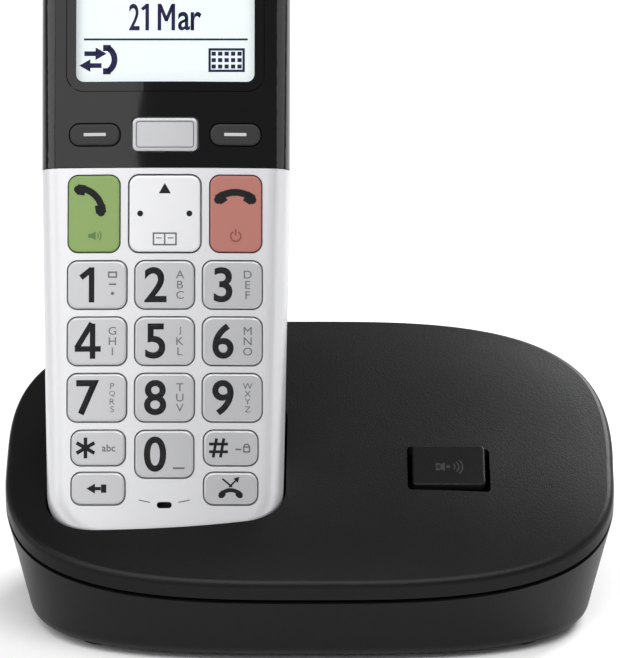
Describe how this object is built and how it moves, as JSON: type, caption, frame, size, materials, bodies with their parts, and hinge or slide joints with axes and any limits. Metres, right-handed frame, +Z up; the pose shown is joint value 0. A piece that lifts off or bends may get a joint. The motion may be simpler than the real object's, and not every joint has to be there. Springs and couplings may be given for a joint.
{
  "type": "cordless phone with charging base",
  "caption": "Cordless phone handset with display and keypad, standing in the tilted pocket of a low rounded charging base.",
  "frame": {"origin": "on the table, under the middle of the whole object's box", "axes": "+X to the right as seen from the front, +Y to the back, +Z up"},
  "size_m": [0.1281, 0.0988, 0.1645],
  "materials": {
    "base_black": "fine satin, dark grey black",
    "handset_black": "fine satin black",
    "foot_rubber": "soft black rubber",
    "circuit_board": "green solder mask",
    "tin_steel": "tinned sheet",
    "jack_plastic": "black moulded plastic",
    "contact_metal": "plated spring contact",
    "screw_steel": "zinc plated",
    "silver_front": "silver lacquered plastic",
    "gloss_black": "polished black",
    "display_glass": "clear polished window",
    "display_white": "pale lit display",
    "backlight_white": "white light guide",
    "flex_amber": "amber film",
    "membrane_rubber": "grey silicone",
    "battery_wrap": "plain sleeve",
    "speaker_black": "black",
    "key_green": "green lacquered",
    "key_red": "dusty red lacquered",
    "key_white": "white silver lacquered",
    "key_black": "polished black",
    "key_silver": "silver lacquered plastic"
  },
  "bodies": {
    "base": {"base_top_housing": "base_black", "base_bottom_housing": "base_black", "base_feet": "foot_rubber", "base_screws": "screw_steel", "base_board": "circuit_board", "base_shield": "tin_steel", "base_antennas": "tin_steel", "line_jack": "jack_plastic", "power_jack": "jack_plastic", "locator_switch": "jack_plastic", "contact_carrier": "jack_plastic"},
    "handset": {"handset_front_housing": "silver_front", "handset_top_panel": "gloss_black", "display_lens": "display_glass", "handset_board": "circuit_board", "keypad_membrane": "membrane_rubber", "display_backlight": "backlight_white", "display_panel": "display_white", "display_flex": "flex_amber", "earpiece_speaker": "speaker_black", "microphone": "speaker_black", "handset_shield": "tin_steel", "handset_antenna": "tin_steel", "handset_back_housing": "handset_black", "batteries": "battery_wrap", "battery_springs": "contact_metal", "battery_plates": "contact_metal", "loudspeaker": "speaker_black", "charge_plates": "contact_metal", "handset_screws": "screw_steel"},
    "battery_cover": {"battery_cover": "handset_black"},
    "centre_key": {"centre_key": "key_silver"},
    "charge_contact_left": {"charge_contact_left": "contact_metal"},
    "charge_contact_right": {"charge_contact_right": "contact_metal"},
    "hash_key": {"hash_key": "key_silver"},
    "key_0": {"key_0": "key_silver"},
    "key_1": {"key_1": "key_silver"},
    "key_2": {"key_2": "key_silver"},
    "key_3": {"key_3": "key_silver"},
    "key_4": {"key_4": "key_silver"},
    "key_5": {"key_5": "key_silver"},
    "key_6": {"key_6": "key_silver"},
    "key_7": {"key_7": "key_silver"},
    "key_8": {"key_8": "key_silver"},
    "key_9": {"key_9": "key_silver"},
    "locator_button": {"locator_button": "base_black"},
    "mute_key": {"mute_key": "key_silver"},
    "navigator_key": {"navigator_key": "key_white"},
    "navigator_pivot": {"navigator_pivot": "membrane_rubber"},
    "off_key": {"off_key": "key_red"},
    "redial_key": {"redial_key": "key_silver"},
    "soft_key_left": {"soft_key_left": "key_black"},
    "soft_key_right": {"soft_key_right": "key_black"},
    "star_key": {"star_key": "key_silver"},
    "talk_key": {"talk_key": "key_green"}
  },
  "joints": [
    {"name": "handset_lift", "type": "slide", "parent": "base", "child": "handset", "axis": [0, 0.4067, 0.9135], "range_m": [0, 0.075]},
    {"name": "battery_cover_hinge", "type": "hinge", "parent": "handset", "child": "battery_cover", "pos_m": [-0.0301, 0.0069, 0.05426], "axis": [-1, 0, 0], "range_deg": [0, 65]},
    {"name": "talk_key_press", "type": "slide", "parent": "handset", "child": "talk_key", "axis": [0, 0.9135, -0.4067], "range_m": [0, 0.0006], "stiffness_N_per_m": 2000},
    {"name": "off_key_press", "type": "slide", "parent": "handset", "child": "off_key", "axis": [0, 0.9135, -0.4067], "range_m": [0, 0.0006], "stiffness_N_per_m": 2000},
    {"name": "star_key_press", "type": "slide", "parent": "handset", "child": "star_key", "axis": [0, 0.9135, -0.4067], "range_m": [0, 0.0006], "stiffness_N_per_m": 2000},
    {"name": "hash_key_press", "type": "slide", "parent": "handset", "child": "hash_key", "axis": [0, 0.9135, -0.4067], "range_m": [0, 0.0006], "stiffness_N_per_m": 2000},
    {"name": "key_0_press", "type": "slide", "parent": "handset", "child": "key_0", "axis": [0, 0.9135, -0.4067], "range_m": [0, 0.0006], "stiffness_N_per_m": 2000},
    {"name": "redial_key_press", "type": "slide", "parent": "handset", "child": "redial_key", "axis": [0, 0.9135, -0.4067], "range_m": [0, 0.0006], "stiffness_N_per_m": 2000},
    {"name": "mute_key_press", "type": "slide", "parent": "handset", "child": "mute_key", "axis": [0, 0.9135, -0.4067], "range_m": [0, 0.0006], "stiffness_N_per_m": 2000},
    {"name": "soft_key_left_press", "type": "slide", "parent": "handset", "child": "soft_key_left", "axis": [0, 0.9135, -0.4067], "range_m": [0, 0.0006], "stiffness_N_per_m": 2000},
    {"name": "soft_key_right_press", "type": "slide", "parent": "handset", "child": "soft_key_right", "axis": [0, 0.9135, -0.4067], "range_m": [0, 0.0006], "stiffness_N_per_m": 2000},
    {"name": "centre_key_press", "type": "slide", "parent": "handset", "child": "centre_key", "axis": [0, 0.9135, -0.4067], "range_m": [0, 0.0006], "stiffness_N_per_m": 2000},
    {"name": "key_1_press", "type": "slide", "parent": "handset", "child": "key_1", "axis": [0, 0.9135, -0.4067], "range_m": [0, 0.0006], "stiffness_N_per_m": 2000},
    {"name": "key_2_press", "type": "slide", "parent": "handset", "child": "key_2", "axis": [0, 0.9135, -0.4067], "range_m": [0, 0.0006], "stiffness_N_per_m": 2000},
    {"name": "key_3_press", "type": "slide", "parent": "handset", "child": "key_3", "axis": [0, 0.9135, -0.4067], "range_m": [0, 0.0006], "stiffness_N_per_m": 2000},
    {"name": "key_4_press", "type": "slide", "parent": "handset", "child": "key_4", "axis": [0, 0.9135, -0.4067], "range_m": [0, 0.0006], "stiffness_N_per_m": 2000},
    {"name": "key_5_press", "type": "slide", "parent": "handset", "child": "key_5", "axis": [0, 0.9135, -0.4067], "range_m": [0, 0.0006], "stiffness_N_per_m": 2000},
    {"name": "key_6_press", "type": "slide", "parent": "handset", "child": "key_6", "axis": [0, 0.9135, -0.4067], "range_m": [0, 0.0006], "stiffness_N_per_m": 2000},
    {"name": "key_7_press", "type": "slide", "parent": "handset", "child": "key_7", "axis": [0, 0.9135, -0.4067], "range_m": [0, 0.0006], "stiffness_N_per_m": 2000},
    {"name": "key_8_press", "type": "slide", "parent": "handset", "child": "key_8", "axis": [0, 0.9135, -0.4067], "range_m": [0, 0.0006], "stiffness_N_per_m": 2000},
    {"name": "key_9_press", "type": "slide", "parent": "handset", "child": "key_9", "axis": [0, 0.9135, -0.4067], "range_m": [0, 0.0006], "stiffness_N_per_m": 2000},
    {"name": "navigator_up_down", "type": "hinge", "parent": "handset", "child": "navigator_pivot", "pos_m": [-0.0301, -0.00861, 0.0858], "axis": [1, 0, 0], "range_deg": [-2, 2], "stiffness_Nm_per_rad": 0.2},
    {"name": "navigator_left_right", "type": "hinge", "parent": "navigator_pivot", "child": "navigator_key", "pos_m": [-0.0301, -0.00861, 0.0858], "axis": [0, 0.4067, 0.9135], "range_deg": [-2, 2], "stiffness_Nm_per_rad": 0.2},
    {"name": "locator_button_press", "type": "slide", "parent": "base", "child": "locator_button", "axis": [0, 0, -1], "range_m": [0, 0.0008], "stiffness_N_per_m": 2000},
    {"name": "charge_contact_left_press", "type": "slide", "parent": "base", "child": "charge_contact_left", "axis": [0, -0.4067, -0.9135], "range_m": [0, 0.0008], "stiffness_N_per_m": 500},
    {"name": "charge_contact_right_press", "type": "slide", "parent": "base", "child": "charge_contact_right", "axis": [0, -0.4067, -0.9135], "range_m": [0, 0.0008], "stiffness_N_per_m": 500}
  ]
}
